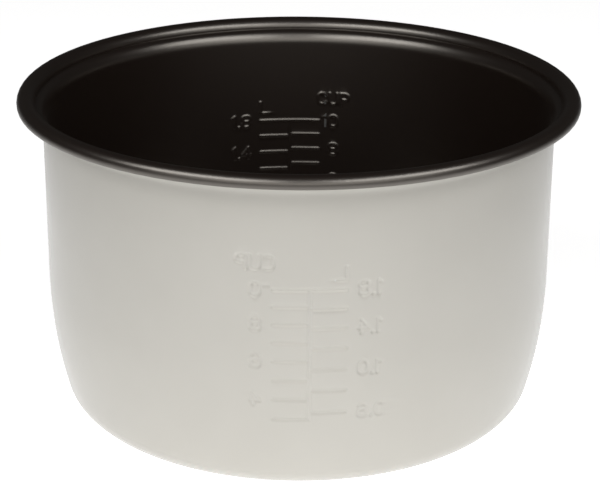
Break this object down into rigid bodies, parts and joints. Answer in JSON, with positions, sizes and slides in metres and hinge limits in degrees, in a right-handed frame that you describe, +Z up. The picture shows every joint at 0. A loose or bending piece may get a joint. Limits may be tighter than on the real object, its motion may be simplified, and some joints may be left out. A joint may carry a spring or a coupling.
{
  "type": "rice cooker inner pot",
  "caption": "Deep round drawn aluminium cooking pot with a rolled rim, black non-stick lining, grey outside and pressed measuring scales, that drops into a rice cooker.",
  "frame": {"origin": "middle of the flat base, on the surface that it stands on", "axes": "+Z up the pot's axis to the rolled rim; the two pressed scales are on the -Y and +Y walls"},
  "size_m": [0.248, 0.248, 0.145],
  "materials": {
    "bare_aluminium": "fine turned",
    "black_nonstick": "satin",
    "grey_finish": "matte"
  },
  "bodies": {
    "root": {"pot_shell": "bare_aluminium", "nonstick_lining": "black_nonstick", "outer_finish": "grey_finish"}
  },
  "joints": []
}
